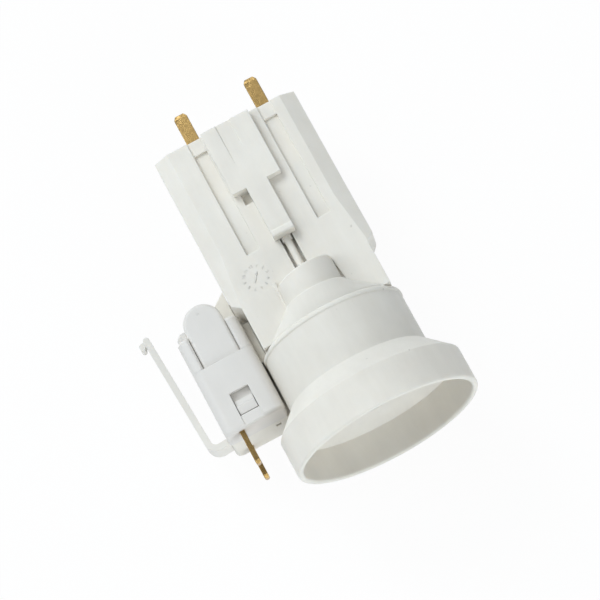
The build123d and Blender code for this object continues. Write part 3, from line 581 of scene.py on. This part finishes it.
@dataclass
class ScrewShell:
    """The rolled shell with the right-handed thread of a screw lamp, in the holder's millimetres."""

    major_radius: float = 13.3
    minor_radius: float = 12.25
    pitch: float = 3.62
    gauge: float = 0.35
    rolled_share: float = 0.8
    bottom: float = 11.05
    top: float = 27.6
    plain_height: float = 1.2
    mouth_lap: float = 0.3
    flange_bore_radius: float = 9.5
    steps_per_pitch: int = 16
    steps_round: int = 128
    merge_distance: float = 0.0005
    cut_distance: float = 0.0001

    def sweep(self, mesh: bmesh.types.BMesh, outline: list[Any], climb: float = 0.0) -> None:
        """Sweeps an outline once round the axis.

        Args:
            mesh: The mesh that holds it.
            outline: Its vertices and edges.
            climb: How far it rises in the turn. One that doesn't rise closes on itself.
        """
        bmesh.ops.spin(
            mesh,
            geom=outline,
            cent=ORIGIN,
            axis=UPWARDS,
            dvec=(0.0, 0.0, climb / self.steps_round),
            angle=FULL_TURN,
            steps=self.steps_round,
            use_merge=climb == 0.0,
        )

    def trim(self, mesh: bmesh.types.BMesh, height: float, keep_above: bool) -> None:
        """Cuts a mesh off level.

        Args:
            mesh: The mesh.
            height: Where it is cut.
            keep_above: Whether the part above the cut stays, or else the part below.
        """
        bmesh.ops.bisect_plane(
            mesh,
            geom=mesh.verts[:] + mesh.edges[:] + mesh.faces[:],
            dist=self.cut_distance,
            plane_co=(0.0, 0.0, height),
            plane_no=UPWARDS,
            clear_outer=not keep_above,
            clear_inner=keep_above,
        )

    def thread(self) -> bmesh.types.BMesh:
        """Sweeps one wavy line round the axis while it climbs by one pitch.

        Returns:
            The threaded wall, trimmed at both ends and given its thickness.
        """
        mesh = bmesh.new()
        start = self.bottom - self.pitch
        count = math.ceil((self.top - start) / self.pitch + 1) * self.steps_per_pitch
        middle = (self.major_radius + self.minor_radius) / 2
        swing = (self.major_radius - self.minor_radius) / 2
        verts = []
        for step in range(count + 1):
            height = start + step * self.pitch / self.steps_per_pitch
            radius = middle + swing * math.cos(FULL_TURN * step / self.steps_per_pitch)
            verts.append(mesh.verts.new((radius, 0.0, height)))
        line = [mesh.edges.new(pair) for pair in zip(verts, verts[1:])]
        self.sweep(mesh, verts + line, climb=self.pitch)
        bmesh.ops.remove_doubles(mesh, verts=mesh.verts, dist=self.merge_distance)
        self.trim(mesh, self.bottom + self.plain_height, keep_above=True)
        self.trim(mesh, self.top - self.gauge, keep_above=False)
        bmesh.ops.recalc_face_normals(mesh, faces=mesh.faces)
        bmesh.ops.solidify(mesh, geom=mesh.faces[:], thickness=self.gauge * self.rolled_share)
        return mesh

    def rings(self) -> bmesh.types.BMesh:
        """The plain mouth below the thread and the flange above it.

        Returns:
            Both rings in one mesh.
        """
        mesh = bmesh.new()
        outer_radius = self.major_radius + self.gauge
        mouth_top = self.bottom + self.plain_height + self.mouth_lap
        under_flange = self.top - self.gauge
        mouth = (
            (self.major_radius, self.bottom),
            (outer_radius, self.bottom),
            (outer_radius, mouth_top),
            (self.major_radius, mouth_top),
        )
        flange = (
            (self.flange_bore_radius, under_flange),
            (self.major_radius, under_flange),
            (outer_radius, under_flange - self.gauge),
            (outer_radius, self.top),
            (self.flange_bore_radius, self.top),
        )
        for outline in (mouth, flange):
            verts = [mesh.verts.new((radius, 0.0, height)) for radius, height in outline]
            edges = [mesh.edges.new(pair) for pair in zip(verts, verts[1:] + verts[:1])]
            self.sweep(mesh, verts + edges)
        bmesh.ops.remove_doubles(mesh, verts=mesh.verts, dist=self.merge_distance)
        bmesh.ops.recalc_face_normals(mesh, faces=mesh.faces)
        return mesh

    def build(self, shop: Workshop) -> None:
        """Makes the threaded shell in place of the plain one.

        Args:
            shop: What makes and dresses pieces.
        """
        wall = shop.piece("shell_thread", self.thread(), HOLDER_LIE, "set", Slot.SHELL)
        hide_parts("screw_shell")
        shop.piece("shell_rings", self.rings(), HOLDER_LIE, "set", Slot.SHELL, smooth=False)


@dataclass
class DateClock:
    """The raised moulding clock on the housing's front, with plain numbers round an arrow.

    Lengths are in millimetres. The centre is given by X and Z, and the front is a plane at one Y.
    """

    centre: tuple[float, float] = (-10.3, 45.6)
    front: float = -9.5
    ring_radius: float = 2.85
    numbers: int = 12
    text_size: float = 1.0
    number_proud: float = 0.019
    arrow_proud: float = 0.1
    arrow_turn: float = 35.0
    arrow_tail: float = -1.4
    arrow_shoulder: float = 0.75
    arrow_tip: float = 1.45
    shaft_half_width: float = 0.12
    head_half_width: float = 0.38

    def figure(self, text: str) -> bmesh.types.BMesh:
        """A number, standing upright on the X and Z axes.

        Args:
            text: What it says.

        Returns:
            Its mesh, centred on the origin.
        """
        curve = bpy.data.curves.new("figure", "FONT")
        curve.body = text
        curve.size = self.text_size
        curve.extrude = self.number_proud
        curve.align_x = "CENTER"
        curve.align_y = "CENTER"
        holder = bpy.data.objects.new("figure", curve)
        data = bpy.data.meshes.new_from_object(holder)
        mesh = bmesh.new()
        mesh.from_mesh(data)
        bpy.data.objects.remove(holder)
        bpy.data.curves.remove(curve)
        bpy.data.meshes.remove(data)
        upright = Matrix.Rotation(math.radians(90.0), 3, "X")
        bmesh.ops.rotate(mesh, cent=ORIGIN, matrix=upright, verts=mesh.verts)
        return mesh

    def stand(self, mesh: bmesh.types.BMesh, turn: float, out: float = 0.0) -> None:
        """Turns a figure on the housing's front and moves it to the clock.

        Args:
            mesh: The figure, round the origin.
            turn: The clockwise turn in radians, as seen from the front.
            out: How far from the clock's centre it stands.
        """
        turned = Matrix.Rotation(turn, 3, "Y")
        place = turned @ Vector((0.0, 0.0, out))
        shift = (self.centre[0] + place.x, self.front, self.centre[1] + place.z)
        bmesh.ops.rotate(mesh, cent=ORIGIN, matrix=turned, verts=mesh.verts)
        bmesh.ops.translate(mesh, vec=shift, verts=mesh.verts)

    def numbers_ring(self) -> bmesh.types.BMesh:
        """All the numbers, each with its foot towards the centre.

        Returns:
            One mesh with every number.
        """
        ring = bmesh.new()
        for index in range(1, self.numbers + 1):
            mesh = self.figure(str(index))
            self.stand(mesh, FULL_TURN * index / self.numbers, self.ring_radius)
            data = bpy.data.meshes.new("figure")
            mesh.to_mesh(data)
            mesh.free()
            ring.from_mesh(data)
            bpy.data.meshes.remove(data)
        return ring

    def arrow(self) -> bmesh.types.BMesh:
        """The arrow in the middle.

        Returns:
            Its mesh.
        """
        mesh = bmesh.new()
        outline = (
            (-self.shaft_half_width, self.arrow_tail),
            (self.shaft_half_width, self.arrow_tail),
            (self.shaft_half_width, self.arrow_shoulder),
            (self.head_half_width, self.arrow_shoulder),
            (0.0, self.arrow_tip),
            (-self.head_half_width, self.arrow_shoulder),
            (-self.shaft_half_width, self.arrow_shoulder),
        )
        face = mesh.faces.new([mesh.verts.new((x, 0.0, z)) for x, z in outline])
        raised = bmesh.ops.extrude_face_region(mesh, geom=[face])
        moved = [v for v in raised["geom"] if isinstance(v, bmesh.types.BMVert)]
        bmesh.ops.translate(mesh, vec=(0.0, -self.arrow_proud, 0.0), verts=moved)
        self.stand(mesh, math.radians(self.arrow_turn))
        bmesh.ops.recalc_face_normals(mesh, faces=mesh.faces)
        return mesh

    def build(self, shop: Workshop) -> None:
        """Makes the clock.

        Args:
            shop: What makes and dresses pieces.
        """
        shop.piece("clock_numbers", self.numbers_ring(), HOLDER_LIE, "set", Slot.HOUSING, smooth=False)
        shop.piece("clock_arrow", self.arrow(), HOLDER_LIE, "set", Slot.HOUSING, smooth=False)


@dataclass(frozen=True)
class Lamp:
    """A soft square lamp that points at the object.

    Attributes:
        name: Its name.
        place: Where it stands from the object, in metres.
        width: Its width in metres.
        power: Its power in watts.
    """

    name: str
    place: Triple
    width: float
    power: float

    def build(self, aim: Vector) -> None:
        """Makes the lamp.

        Args:
            aim: The point it shines at.
        """
        way = Vector(self.place)
        data = bpy.data.lights.new(self.name, "AREA")
        data.size = self.width
        data.energy = self.power
        data.color = COOL_WHITE
        lamp = bpy.data.objects.new(self.name, data)
        lamp.location = aim + way
        lamp.rotation_euler = way.to_track_quat("Z", "Y").to_euler()
        bpy.context.scene.collection.objects.link(lamp)


# A high lamp beyond the blades throws the shadows towards the skirt, two fill the left and
# near sides, and a small one picks out the blades' tips.
LAMPS = (
    Lamp("key", (-0.27, 0.74, 0.85), 0.45, 6.2),
    Lamp("left", (-0.62, 0.2, 0.66), 0.4, 1.6),
    Lamp("low", (0.12, -0.93, 0.36), 0.6, 4.4),
    Lamp("tips", (0.03, 0.91, 0.41), 0.16, 0.55),
)


@dataclass
class Stage:
    """The table, the light and the camera.

    Angles are in degrees and lengths in metres, apart from the camera's sensor, in millimetres.
    """

    elevation: float = 75.36
    azimuth: float = -6.23
    roll: float = -22.08
    pixels_per_mm: float = 4.1825
    aim: Triple = (0.0062, -0.0043, 0.012)
    distance: float = 0.8
    frame_pixels: int = 600
    sensor_width: float = 36.0
    farthest_seen: float = 20.0
    world_strength: float = 0.405
    table_size: float = 4.0
    table_glow: float = 0.95
    table_pale: Triple = (0.97, 0.97, 0.965)
    table_deep: Triple = (0.95, 0.95, 0.95)
    table_cloud: Pattern = Pattern(scale=3.0, used=(0.2, 0.8))

    def axes(self) -> tuple[Vector, Vector, Vector]:
        """The camera's right, up and back directions.

        Returns:
            The three directions.
        """
        rise, swing, roll = (math.radians(a) for a in (self.elevation, self.azimuth, self.roll))
        back = Vector((math.sin(swing) * math.cos(rise), -math.cos(swing) * math.cos(rise), math.sin(rise)))
        level = Vector((math.cos(swing), math.sin(swing), 0.0))
        up = back.cross(level)
        right = level * math.cos(roll) + up * math.sin(roll)
        return right, up * math.cos(roll) - level * math.sin(roll), back

    def camera(self) -> None:
        """Makes the camera at the photograph's angle."""
        right, up, back = self.axes()
        data = bpy.data.cameras.new("camera")
        data.sensor_width = self.sensor_width
        data.lens = self.pixels_per_mm / MM * self.distance * self.sensor_width / self.frame_pixels
        data.clip_end = self.farthest_seen
        view = bpy.data.objects.new("camera", data)
        turn = Matrix((right, up, back)).transposed().to_4x4()
        view.matrix_world = Matrix.Translation(Vector(self.aim) + back * self.distance) @ turn
        bpy.context.scene.collection.objects.link(view)
        bpy.context.scene.camera = view

    def table_finish(self) -> bpy.types.Material:
        """A white paper that looks plain to the camera and still shows the object's shadow.

        Returns:
            The material.
        """
        graph = Graph("table_white")
        rays = graph.make("ShaderNodeLightPath", {}, {})
        seen = Value(graph, rays.outputs["Is Camera Ray"]) + Value(graph, rays.outputs["Is Glossy Ray"])
        cloud = graph.pattern(self.table_cloud)
        paper = graph.blend(linear(self.table_deep), linear(self.table_pale), cloud)
        plain = graph.node("ShaderNodeBsdfDiffuse", {}, {"Color": paper})
        glow = graph.node("ShaderNodeEmission", {}, {"Color": (1.0, 1.0, 1.0, 1.0), "Strength": 1.0})
        share = (seen * self.table_glow).clamped()
        return graph.finish(graph.make("ShaderNodeMixShader", {}, {0: share, 1: plain, 2: glow}))

    def table(self) -> None:
        """Makes a wide white table."""
        mesh = bmesh.new()
        bmesh.ops.create_grid(mesh, x_segments=2, y_segments=2, size=self.table_size)
        data = bpy.data.meshes.new("table_top")
        mesh.to_mesh(data)
        mesh.free()
        data.materials.append(self.table_finish())
        top = bpy.data.objects.new("table_top", data)
        bpy.context.scene.collection.objects.link(top)

    def world(self) -> None:
        """Makes an even, faintly cool surrounding."""
        world = bpy.data.worlds.new("studio")
        world.use_nodes = True
        background = world.node_tree.nodes["Background"]
        background.inputs["Color"].default_value = (*COOL_WHITE, 1.0)
        background.inputs["Strength"].default_value = self.world_strength
        bpy.context.scene.world = world

    def build(self) -> None:
        """Sets the whole stage."""
        self.camera()
        for lamp in LAMPS:
            lamp.build(Vector(self.aim))
        self.table()
        self.world()
        bpy.context.scene.view_settings.view_transform = "Standard"


def main() -> None:
    """Builds everything in order."""
    logging.basicConfig(level=logging.INFO, format="%(message)s")
    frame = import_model()
    Stage().build()
    shop = Workshop(frame)
    shop.dress_nodes()
    for assembly in (ScrewShell(), DateClock()):
        assembly.build(shop)
        LOG.info("finished %s", type(assembly).__name__)


if __name__ == "__main__":
    main()
